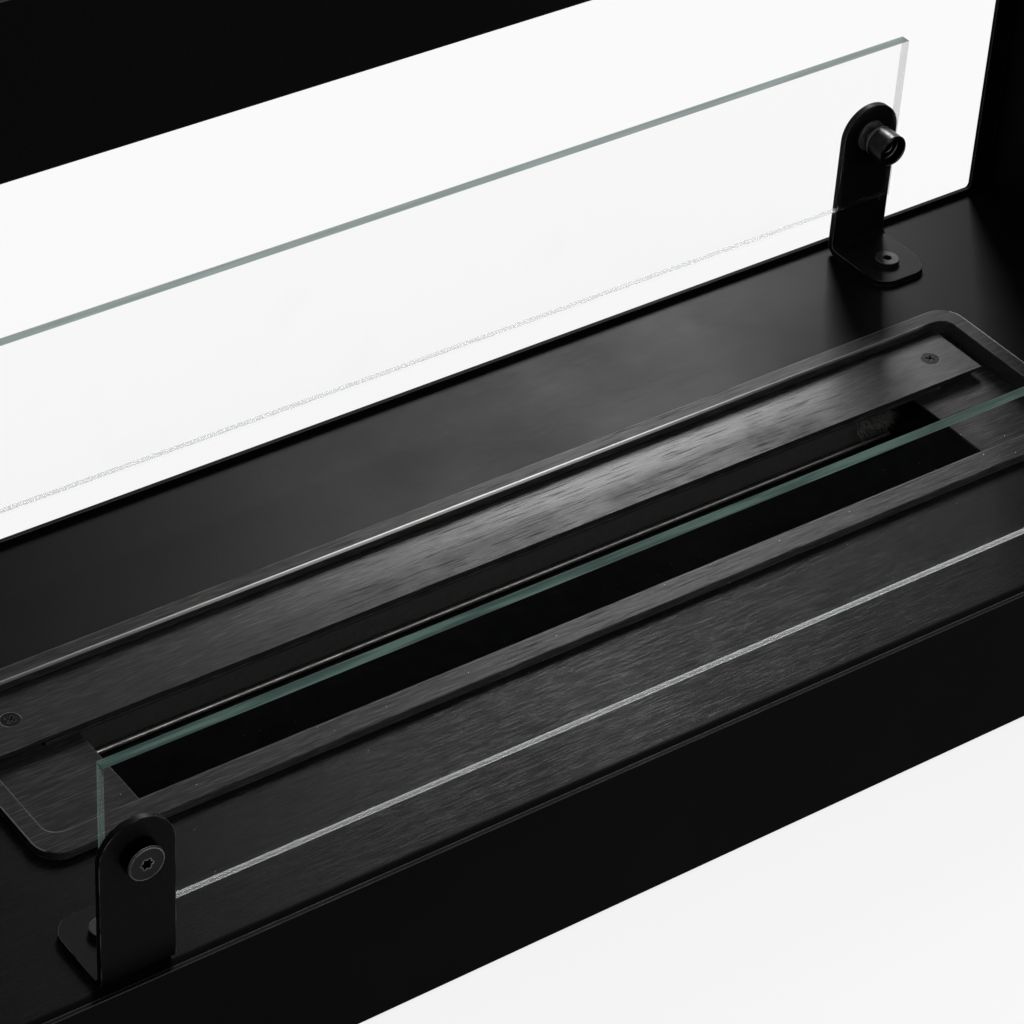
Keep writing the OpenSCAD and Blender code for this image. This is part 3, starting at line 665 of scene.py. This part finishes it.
@dataclass(frozen=True)
class ScreenGlass(Finish):
    """Clear toughened glass with ground, sea-green edges."""

    name: str
    clear: Colour = (0.2, 0.24, 0.23)
    edge_tone: Colour = (0.05, 0.08, 0.073)
    edge_light: Colour = (0.09, 0.135, 0.125)
    painted_arris_glint: Colour = (0.14, 0.19, 0.18)
    # unlit and the next two colours: emission of the painted glow on the front pane's edges
    unlit: Colour = (0.0, 0.0, 0.0)
    painted_glow_dark: Colour = (0.0, 0.022, 0.016)
    painted_glow_light: Colour = (0.035, 0.075, 0.062)
    index: float = 1.5
    film_rough: float = 0.4
    ground: float = 1.0
    streak_rough: float = 0.16
    smear_rough: float = 0.02
    smear_seen: float = 0.012
    seen: float = 0.013
    arris: float = 0.0007
    arris_core: float = 0.4
    edge_body: float = 0.95
    end_edge: float = 0.32
    under_edge: float = 0.6
    under_arris: float = 0.35
    under_line: float = 0.0025
    side_facing: Span = (0.85, 0.35)
    end_facing: Span = (0.4, 0.8)
    streak_lay: tuple[float, float, float] = (0.05, 1.0, 0.05)
    streaks_per_m: float = 420.0
    streak_tones: Span = (0.3, 0.72)
    streak_glow: Span = (0.4, 0.6)
    marks_per_m: float = 24.0
    front_pane: Span = (0.05, -0.05)
    rear_thinner: Span = (0.0, 0.05, 0.85, 0.8)
    relief: float = 0.00002
    relief_share: float = 0.4

    def make(self, effects: Effects) -> bpy.types.Material:
        """Return the material.

        Args:
            effects: The shared effects.

        Returns:
            The finished material.
        """
        material, g, shader, place = self.start(self.name)
        facing = g.parts(g.add("NewGeometry").outputs["True Normal"])
        edge = g.span(g.math("ABSOLUTE", facing[1]), *self.side_facing)
        end = g.span(g.math("ABSOLUTE", facing[0]), *self.end_facing)
        low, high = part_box("front_glass")
        _, depth, height = g.parts(place)
        core = self.arris_core * self.arris
        under = g.span(height, low.z + self.arris, low.z + self.arris / 2)
        deep = g.math("SUBTRACT", -low.y, g.math("ABSOLUTE", depth))
        half = (high.y - low.y) / 2
        rim = g.math("ABSOLUTE", g.math("SUBTRACT", deep, half))
        arris = g.span(rim, half - self.arris, half - core)
        streaks = g.noise(g.stretched(place, self.streak_lay), self.streaks_per_m, 3.0, 0.6)
        touch = self.place(g, effects.touch, Place=place, Marks_per_m=self.marks_per_m)
        band = g.tint(g.span(streaks, *self.streak_tones), self.edge_tone, self.edge_light)
        # painted highlight: the arrises of the edge band are tinted lighter
        band = g.tint(arris, band, self.painted_arris_glint)
        smear = g.scaled(touch.outputs["Smear"], self.smear_rough, self.film_rough)
        rough = g.scaled(streaks, self.streak_rough, self.ground - self.streak_rough / 2)
        bump = g.bump(self.relief, g.times(streaks, edge), strength=self.relief_share)
        self.coat(g, shader, g.tint(edge, self.clear, band), g.scaled(edge, rough, smear), bump,
                  Transmission_Weight=1.0, IOR=self.index, Emission_Strength=1.0)
        # painted glow: the front pane's side edges emit a streaked sea-green light, though the glass
        # is no lamp
        painted_edge_glow = g.tint(g.span(streaks, *self.streak_glow), self.painted_glow_dark, self.painted_glow_light)
        ahead = g.times(edge, g.span(depth, *self.front_pane))
        painted_glow_mask = g.times(ahead, g.math("SUBTRACT", 1.0, under))
        g.fill(shader.inputs["Emission Color"], g.tint(painted_glow_mask, self.unlit, painted_edge_glow))
        film = g.scaled(touch.outputs["Smear"], self.smear_seen, self.seen)
        thin = g.times(self.under_lines(g, deep), g.span(depth, *self.rear_thinner))
        solid = g.scaled(under, g.math("SUBTRACT", thin, self.edge_body), self.edge_body)
        solid = g.scaled(end, self.end_edge - self.edge_body, solid)
        g.fill(shader.inputs["Alpha"], g.math("MULTIPLY_ADD", edge, solid, film, clamp=True))
        return material

    def under_lines(self, g: Graph, deep: Socket) -> Socket:
        """Return how solid the lower edge is: a band on its outer part, with two lines of painted
        highlight.

        Args:
            g: The material's graph.
            deep: Distance from the pane's outer face.

        Returns:
            The lower edge's share.
        """
        core = self.arris_core * self.arris
        inner = g.math("ABSOLUTE", g.math("SUBTRACT", deep, self.under_line))
        drawn = g.larger(g.span(inner, self.arris, core), g.span(deep, self.arris, core))
        band_in = g.span(deep, self.under_line + self.arris, self.under_line + self.arris / 2)
        return g.times(band_in, g.scaled(drawn, self.under_arris, self.under_edge))


@dataclass(frozen=True)
class SoftPad(Finish):
    """Moulded rubber or pressed fibre washer."""

    name: str
    tone: Colour
    pale: Colour
    roughness: float = 0.75
    grains_per_m: float = 900.0
    relief: float = 0.00008
    edge: float = 0.0006
    dust: float = 0.3
    worn_share: float = 0.4
    cloud_rough: float = 0.1

    def make(self, effects: Effects) -> bpy.types.Material:
        """Return the material.

        Args:
            effects: The shared effects.

        Returns:
            The finished material.
        """
        material, g, shader, place = self.start(self.name)
        grain = self.place(g, effects.grain, Place=place, Grain_per_m=self.grains_per_m)
        edges = self.place(g, effects.edges, Place=place, Radius=self.edge)
        dust = self.place(g, effects.dust, Place=place, Amount=self.dust)
        colour = g.tint(grain.outputs["Speckle"], self.tone, self.pale)
        colour = g.tint(g.times(edges.outputs["Worn"], self.worn_share), colour, self.pale)
        colour = g.tint(dust.outputs["Dust"], colour, DUST_TONE)
        rough = g.scaled(grain.outputs["Cloud"], self.cloud_rough,
                         self.roughness - self.cloud_rough / 2)
        bump = g.bump(self.relief, grain.outputs["Relief"], edges.outputs["Normal"])
        self.coat(g, shader, colour, rough, bump)
        return material


@dataclass(frozen=True)
class CeramicFibre(Finish):
    """Matted ceramic fibre, pale where clean and black where it has burned."""

    name: str
    pale: Colour = (0.45, 0.44, 0.41)
    scorched: Colour = (0.019, 0.019, 0.0183)
    burned: float = 0.985
    dim_share: float = 0.7
    strand_lay: tuple[float, float, float] = (0.25, 1.0, 1.0)
    strand_turn: tuple[float, float, float] = (0.3, 0.5, 0.2)
    strands_per_m: float = 1400.0
    tufts_per_m: float = 240.0
    grains_per_m: float = 2200.0
    clean: Span = (0.74, 0.9)
    strand: Span = (0.3, 0.7)
    tuft_share: float = 0.6
    relief: float = 0.0006
    rough: Span = (0.3, 0.7, 0.8, 0.97)

    def make(self, effects: Effects) -> bpy.types.Material:
        """Return the material.

        Args:
            effects: The shared effects.

        Returns:
            The finished material.
        """
        material, g, shader, place = self.start(self.name)
        lay = g.stretched(place, self.strand_lay, self.strand_turn)
        strands = g.noise(lay, self.strands_per_m, 4.0, 0.7)
        tufts = g.noise(place, self.tufts_per_m, 4.0, 0.65)
        grain = self.place(g, effects.grain, Place=place, Grain_per_m=self.grains_per_m)
        burned = g.times(g.math("SUBTRACT", 1.0, g.span(tufts, *self.clean)), self.burned)
        colour = g.tint(g.span(strands, *self.strand), scale_tone(self.pale, self.dim_share),
                        self.pale)
        colour = g.tint(burned, colour, self.scorched)
        height = g.scaled(tufts, self.tuft_share, g.times(strands, 1.0 - self.tuft_share))
        self.coat(g, shader, colour, g.span(grain.outputs["Relief"], *self.rough),
                  g.bump(self.relief, height))
        return material


@dataclass(frozen=True)
class Palette:
    """Every finish of the fireplace, by the record's material slots."""

    # shell_black: its edge tint and the tint on every rounded edge paint light lines along the
    # arrises
    shell: PowderPaint = PowderPaint(
        "shell_black", (0.0018, 0.0018, 0.0019), shine=0.01, roughness=0.55, relief=0.00004,
        wear_and_highlight_tone=(0.1, 0.1, 0.098), wear_and_edge_highlight=0.6, edge=0.0006, dust=0.03, painted_arris_highlight=0.45)
    hearth: PowderPaint = PowderPaint(
        "hearth_black", (0.0014, 0.0014, 0.0013), shine=0.012, roughness=0.37, lines=1.0, dust=0.015)
    # bracket_black: its strong edge tint paints light lines along the bracket's rims
    bracket: PowderPaint = PowderPaint(
        "bracket_black", (0.003, 0.003, 0.0031), shine=0.014, roughness=0.4, relief=0.00003,
        edge=0.0006, wear_and_edge_highlight=0.8, dust=0.05)
    burner: BrushedBlack = BrushedBlack(
        "burner_black", (0.004, 0.004, 0.0039), (0.022, 0.022, 0.0213), shine=0.11, metal=0.19,
        roughness=0.4, relief=0.00003, lines_per_m=2400.0)
    # well_black: its pale edge tone (0.7) with a 0.9 share paints the bend highlights
    well: BrushedBlack = BrushedBlack(
        "well_black", (0.011, 0.011, 0.0107), (0.031, 0.031, 0.03), shine=0.05, metal=0.08,
        roughness=0.48, lines_per_m=2400.0, edge=0.0011, wear_and_edge_highlight=0.05, wear_and_highlight_tone=(0.7, 0.7, 0.69),
        painted_fold_highlight=0.9)
    tank: BareSteel = BareSteel("tank_steel", (0.035, 0.035, 0.033), (0.022, 0.022, 0.021), soot=0.7)
    bead: BareSteel = BareSteel("bead_steel", (0.3, 0.3, 0.29), (0.2, 0.2, 0.19), roughness=0.38)
    zinc_sheet: BareSteel = BareSteel(
        "zinc_sheet", (0.55, 0.56, 0.57), (0.42, 0.43, 0.45), roughness=0.42)
    zinc_nut: BareSteel = BareSteel("zinc_nut", (0.5, 0.51, 0.52), (0.4, 0.4, 0.41))
    # clamp and screws: their large edge factors paint glints and light rims on their edges
    clamp: BareSteel = BareSteel(
        "clamp_grey", (0.008, 0.008, 0.008), (0.005, 0.005, 0.005), roughness=0.3,
        lay=Lay.ALONG_HEIGHT, edge=0.0007, wear_and_highlight=50.0)
    screw: BareSteel = BareSteel(
        "screw_black", (0.005, 0.005, 0.005), (0.003, 0.003, 0.003), roughness=0.42, edge=0.0008,
        wear_and_highlight=30.0, metal=0.0, shine=0.05)
    cover_screw: BareSteel = BareSteel(
        "cover_screw", (0.002, 0.002, 0.002), (0.001, 0.001, 0.001), roughness=0.3, wear_and_highlight=120.0,
        metal=0.0, shine=0.02)
    glass: ScreenGlass = ScreenGlass("clear_glass")
    rubber: SoftPad = SoftPad("rubber", (0.02, 0.02, 0.02), (0.035, 0.035, 0.034))
    gasket: SoftPad = SoftPad("gasket", (0.035, 0.035, 0.035), (0.06, 0.06, 0.058))
    fibre: CeramicFibre = CeramicFibre("fibre")
    loose: CeramicFibre = CeramicFibre("loose_fibre", burned=0.25)


class Dresser:
    """Holds the made materials and puts them on nodes and new pieces."""

    def __init__(self, palette: Palette) -> None:
        """Make every material once.

        Args:
            palette: The finishes.
        """
        effects = Effects()
        self.made = {finish.name: finish.make(effects) for finish in vars(palette).values()}
        self.slots = {part["node"]: part["material_slot"] for part in frame["record"]["subparts"]}

    def node(self, name: str, finish: str = "") -> bpy.types.Object:
        """Give a CAD node a finish.

        Args:
            name: The node's name.
            finish: The finish, or nothing for the one of its slot.

        Returns:
            The node's object.
        """
        node = frame["nodes"][name]
        for place in node.material_slots:
            place.material = self.made[finish or self.slots[name]]
        log.info("%s has the finish %s", name, finish or self.slots[name])
        return node

    def piece(self, piece: bpy.types.Object, body: str, slot: str, stands_for: str = "",
              finish: str = "") -> None:
        """Finish a new piece with its slot's finish or the one given, and tie it to its body.

        Args:
            piece: The new piece.
            body: The body that it rides on.
            slot: The record's material slot.
            stands_for: The CAD node that it replaces, if any.
            finish: The finish, or nothing for the one of the slot.
        """
        piece.data.materials.append(self.made[finish or slot])
        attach(piece, body)
        if stands_for:
            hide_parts(stands_for)
        log.info("%s rides on %s with the finish %s", piece.name, body, finish or slot)


def new_mesh_object(name: str, shape: bmesh.types.BMesh, smooth: bool = True) -> bpy.types.Object:
    """Turn a finished shape into a linked object.

    Args:
        name: The object's name.
        shape: The shape, which is freed.
        smooth: Whether its faces are shaded smooth.

    Returns:
        The new object.
    """
    mesh = bpy.data.meshes.new(name)
    bmesh.ops.recalc_face_normals(shape, faces=shape.faces)
    shape.to_mesh(mesh)
    shape.free()
    for face in mesh.polygons:
        face.use_smooth = smooth
    piece = bpy.data.objects.new(name, mesh)
    bpy.context.scene.collection.objects.link(piece)
    return piece


@dataclass
class Assembly:
    """CAD nodes that belong together and take the finish of their slots."""

    parts: tuple[str, ...] = ()

    def build(self, dresser: Dresser) -> None:
        """Dress every part.

        Args:
            dresser: Holds the materials.
        """
        for name in self.parts:
            dresser.node(name)


@dataclass
class Body(Assembly):
    """The folded sheet box with its inner walls, hearth and hidden carriers."""

    parts: tuple[str, ...] = (
        "front_face", "rear_face", "left_side_panel", "right_side_panel", "top_panel", "base_panel",
        "left_cheek", "right_cheek", "ceiling_panel", "hearth_plate", "front_hearth_rail",
        "rear_hearth_rail", "rubber_feet", "face_nuts")


@dataclass
class GlassScreens(Assembly):
    """The two glass panes with their brackets, clamps, nuts and washers."""

    parts: tuple[str, ...] = (
        "front_glass", "rear_glass", "front_left_bracket", "front_right_bracket",
        "rear_left_bracket", "rear_right_bracket", "front_clamp_screws", "rear_clamp_screws",
        "low_nuts", "barrel_nuts", "outer_gaskets", "inner_gaskets", "bracket_screws",
        "bracket_nuts")


@dataclass
class SlotBurner(Assembly):
    """The drop-in burner with its wick."""

    parts: tuple[str, ...] = (
        "cover_plate", "cover_spacers", "cover_screws", "cover_nuts", "tank_trough", "tank_ends")
    well_parts: tuple[str, ...] = ("burner_rim", "burner_deck", "damper_slide")
    bead_part: str = "fibre_tray"
    wick_step: float = 2.0 * MM
    wick_fuzz: float = 0.8 * MM
    wick_across: int = 6
    wick_upward: int = 14
    tuft_hairs: int = 220
    tuft_length: float = 20.0 * MM
    tuft_crowding: float = 1.3
    tuft_inset: tuple[float, float] = (0.5 * MM, 1.0 * MM)
    tuft_drop: float = 10.0 * MM
    hair_turn: tuple[float, float] = (-0.6, 0.2)
    hair_climb: tuple[float, float] = (-0.3, 0.4)
    hair_length: tuple[float, float] = (4.0 * MM, 12.0 * MM)
    hair_radius: float = 0.1 * MM
    hair_steps: int = 5
    hair_taper: float = 0.14
    hair_curl: float = 0.5
    hair_corners: tuple[float, float, float] = (0.0, 2.094, 4.189)
    seed: int = 11
    places: random.Random = field(init=False)

    def __post_init__(self) -> None:
        """Start the seeded numbers."""
        self.places = random.Random(self.seed)

    def build(self, dresser: Dresser) -> None:
        """Dress the sheet parts and add the wick and its loose fibres.

        Args:
            dresser: Holds the materials.
        """
        super().build(dresser)
        for name in self.well_parts:
            dresser.node(name, "well_black")
        dresser.node(self.bead_part, "bead_steel")
        dresser.piece(self.wick(), "burner", "fibre", "fibre_strip")
        dresser.piece(self.tuft(), "burner", "fibre", finish="loose_fibre")

    def wick(self) -> bpy.types.Object:
        """Return the wick: a matted block with an uneven face, within its CAD block."""
        low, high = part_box("fibre_strip")
        wide, deep = self.wick_across, self.wick_upward
        ring = [(i / wide, 0.0) for i in range(wide)]
        ring += [(1.0, i / deep) for i in range(deep)]
        ring += [(1.0 - i / wide, 1.0) for i in range(wide)]
        ring += [(0.0, 1.0 - i / deep) for i in range(deep)]
        steps = int((high.x - low.x) / self.wick_step)
        mid_y, mid_z = (low.y + high.y) / 2, (low.z + high.z) / 2
        shape = bmesh.new()
        rows = []
        for i in range(steps + 1):
            x = low.x + (high.x - low.x) * i / steps
            row = []
            for u, v in ring:
                inset = self.wick_fuzz * self.places.random()
                y = low.y + (high.y - low.y) * u
                z = low.z + (high.z - low.z) * v
                pull = Vector((0.0, mid_y - y, mid_z - z)).normalized() * inset
                row.append(shape.verts.new((x, y + pull.y, z + pull.z)))
            rows.append(row)
        count = len(ring)
        for first, second in zip(rows, rows[1:]):
            for i in range(count):
                after = (i + 1) % count
                shape.faces.new((first[i], first[after], second[after], second[i]))
        for row in (rows[0], rows[-1]):
            shape.faces.new(row)
        return new_mesh_object("fibre_wick", shape)

    def tuft(self) -> bpy.types.Object:
        """Return the loose fibres that stand out of the wick at the slot's right end."""
        low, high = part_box("fibre_strip")
        shape = bmesh.new()
        from_end, from_face = self.tuft_inset
        for _ in range(self.tuft_hairs):
            x = high.x - from_end - self.tuft_length * self.places.random() ** self.tuft_crowding
            z = high.z - self.tuft_drop - self.tuft_drop * self.places.random()
            heading = Vector((self.places.uniform(*self.hair_turn), -1.0,
                              self.places.uniform(*self.hair_climb)))
            self.hair(shape, Vector((x, low.y + from_face, z)), heading.normalized(),
                      self.places.uniform(*self.hair_length))
        return new_mesh_object("loose_fibres", shape)

    def hair(self, shape: bmesh.types.BMesh, start: Vector, heading: Vector, length: float) -> None:
        """Add one thin curled hair of three sides.

        Args:
            shape: The shape that takes the hair.
            start: Its root.
            heading: Its first direction.
            length: Its length in metres.
        """
        rings = []
        here, way = start.copy(), heading.copy()
        curl = Vector([self.places.uniform(-self.hair_curl, self.hair_curl) for _ in range(3)])
        for step in range(self.hair_steps + 1):
            side = way.orthogonal().normalized()
            size = self.hair_radius * (1.0 - self.hair_taper * step)
            rings.append([shape.verts.new(here + Matrix.Rotation(turn, 3, way) @ side * size)
                          for turn in self.hair_corners])
            here = here + way * (length / self.hair_steps)
            way = (way + curl * self.hair_curl).normalized()
        count = len(self.hair_corners)
        for first, second in zip(rings, rings[1:]):
            for i in range(count):
                after = (i + 1) % count
                shape.faces.new((first[i], first[after], second[after], second[i]))
        shape.faces.new(rings[0])
        shape.faces.new(rings[-1])


@dataclass(frozen=True)
class SoftLamp:
    """One soft rectangular studio lamp that looks at a point."""

    name: str
    turn: float
    rise: float
    away: float
    width: float
    height: float
    watts: float
    looks_at: tuple[float, float, float] = (0.0, 0.0, 0.1)

    def hang(self) -> bpy.types.Object:
        """Return the lamp in its place."""
        data = bpy.data.lights.new(self.name, "AREA")
        data.shape = "RECTANGLE"
        data.size, data.size_y = self.width, self.height
        data.energy = self.watts
        lamp = bpy.data.objects.new(self.name, data)
        turn, rise = math.radians(self.turn), math.radians(self.rise)
        way = Vector((math.sin(turn) * math.cos(rise), math.cos(turn) * math.cos(rise),
                      math.sin(rise)))
        lamp.location = Vector(self.looks_at) + way * self.away
        lamp.rotation_mode = "QUATERNION"
        lamp.rotation_quaternion = way.to_track_quat("Z", "Y")
        lamp.visible_camera = False
        bpy.context.scene.collection.objects.link(lamp)
        return lamp


@dataclass
class Studio:
    """Pale floor, pale surroundings, soft lamps and the photograph's camera."""

    floor_size: float = 14.0
    floor_tone: Colour = (0.88, 0.88, 0.875)
    floor_shade: float = 0.99
    floor_rough: float = 0.9
    floor_glow: float = 0.85
    mottles_per_m: float = 3.0
    mottle: Span = (0.2, 0.8)
    air_light: float = 0.85
    air_white: float = 0.965
    white: Colour = (1.0, 1.0, 1.0)
    floor_white: Colour = (1.0, 1.0, 0.998)
    lens: float = 129.07
    sensor: float = 36.0
    clip: tuple[float, float] = (0.05, 60.0)
    eye: tuple[float, float, float] = (-0.790877, -0.997232, 1.071023)
    yaw: float = -0.65839
    pitch: float = 0.65153
    roll: float = 0.06596
    lamps: tuple[SoftLamp, ...] = (
        SoftLamp("rear_softbox", 39.0, 32.0, 2.2, 0.4, 0.8, 70.0),
        SoftLamp("top_softbox", 0.0, 85.0, 2.2, 1.4, 1.0, 14.0),
        SoftLamp("front_softbox", 165.0, 20.0, 1.6, 0.7, 0.5, 5.0, (0.1, -0.13, 0.45)),
    )

    def build(self) -> None:
        """Set up the whole studio."""
        floor = self.lay_floor()
        self.light_air()
        hung = [lamp.hang() for lamp in self.lamps]
        self.shade_floor(hung[0], floor)
        self.set_camera()
        bpy.context.scene.view_settings.view_transform = "Standard"

    @staticmethod
    def shade_floor(lamp: bpy.types.Object, floor: bpy.types.Object) -> None:
        """Keep one lamp's light off the floor, as a flag does in a studio.

        Args:
            lamp: The lamp.
            floor: The floor.
        """
        flagged = bpy.data.collections.new("flagged_floor")
        flagged.objects.link(floor)
        flagged.collection_objects[0].light_linking.link_state = "EXCLUDE"
        lamp.light_linking.receiver_collection = flagged

    def lay_floor(self) -> bpy.types.Object:
        """Return the pale floor, which keeps the object's shadow."""
        shape = bmesh.new()
        bmesh.ops.create_grid(shape, x_segments=1, y_segments=1, size=self.floor_size / 2)
        floor = new_mesh_object("studio_floor", shape, smooth=False)
        material, g, shader, place = Finish.start("pale_floor")
        mottle = g.span(g.noise(place, self.mottles_per_m), *self.mottle)
        g.fill(shader.inputs["Base Color"],
               g.tint(mottle, scale_tone(self.floor_tone, self.floor_shade), self.floor_tone))
        shader.inputs["Roughness"].default_value = self.floor_rough
        shader.inputs["Specular IOR Level"].default_value = 0.0
        white = g.add("Emission", Color=self.floor_white, Strength=self.air_white)
        both = g.add("MixShader")
        g.fill(both.inputs[0], g.times(g.seen_directly(), self.floor_glow))
        g.fill(both.inputs[1], shader.outputs[0])
        g.fill(both.inputs[2], white.outputs[0])
        g.fill(material.node_tree.nodes["Material Output"].inputs["Surface"], both.outputs[0])
        floor.data.materials.append(material)
        log.info("the floor is laid")
        return floor

    def light_air(self) -> None:
        """Give the world its plain light and its white look."""
        world = bpy.data.worlds.new("studio_air")
        bpy.context.scene.world = world
        world.use_nodes = True
        g = Graph(world.node_tree)
        back = world.node_tree.nodes["Background"]
        g.fill(back.inputs["Color"], self.white)
        g.fill(back.inputs["Strength"], g.scaled(g.seen_directly(), self.air_white - self.air_light,
                                                 self.air_light))
        log.info("the air is lit")

    def set_camera(self) -> None:
        """Place the camera where the photograph was taken."""
        data = bpy.data.cameras.new("photo_camera")
        data.lens = self.lens
        data.sensor_width = self.sensor
        data.clip_start, data.clip_end = self.clip
        camera = bpy.data.objects.new("photo_camera", data)
        bpy.context.scene.collection.objects.link(camera)
        cos_a, sin_a = math.cos(self.yaw), math.sin(self.yaw)
        level_right = Vector((cos_a, sin_a, 0.0))
        level_ahead = Vector((-sin_a, cos_a, 0.0))
        up = Vector((0.0, 0.0, 1.0))
        ahead = math.cos(self.pitch) * level_ahead - math.sin(self.pitch) * up
        tilted_up = math.sin(self.pitch) * level_ahead + math.cos(self.pitch) * up
        right = math.cos(self.roll) * level_right + math.sin(self.roll) * tilted_up
        head = -math.sin(self.roll) * level_right + math.cos(self.roll) * tilted_up
        turn = Matrix((right, head, -ahead)).transposed().to_4x4()
        camera.matrix_world = Matrix.Translation(self.eye) @ turn
        bpy.context.scene.camera = camera
        log.info("the camera is set")


def main() -> None:
    """Build the studio and every sub-assembly in order."""
    logging.basicConfig(level=logging.INFO, format="%(name)s: %(message)s")
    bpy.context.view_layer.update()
    Studio().build()
    dresser = Dresser(Palette())
    for assembly in (Body(), GlassScreens(), SlotBurner()):
        assembly.build(dresser)
        log.info("%s is finished", type(assembly).__name__)


if __name__ == "__main__":
    main()
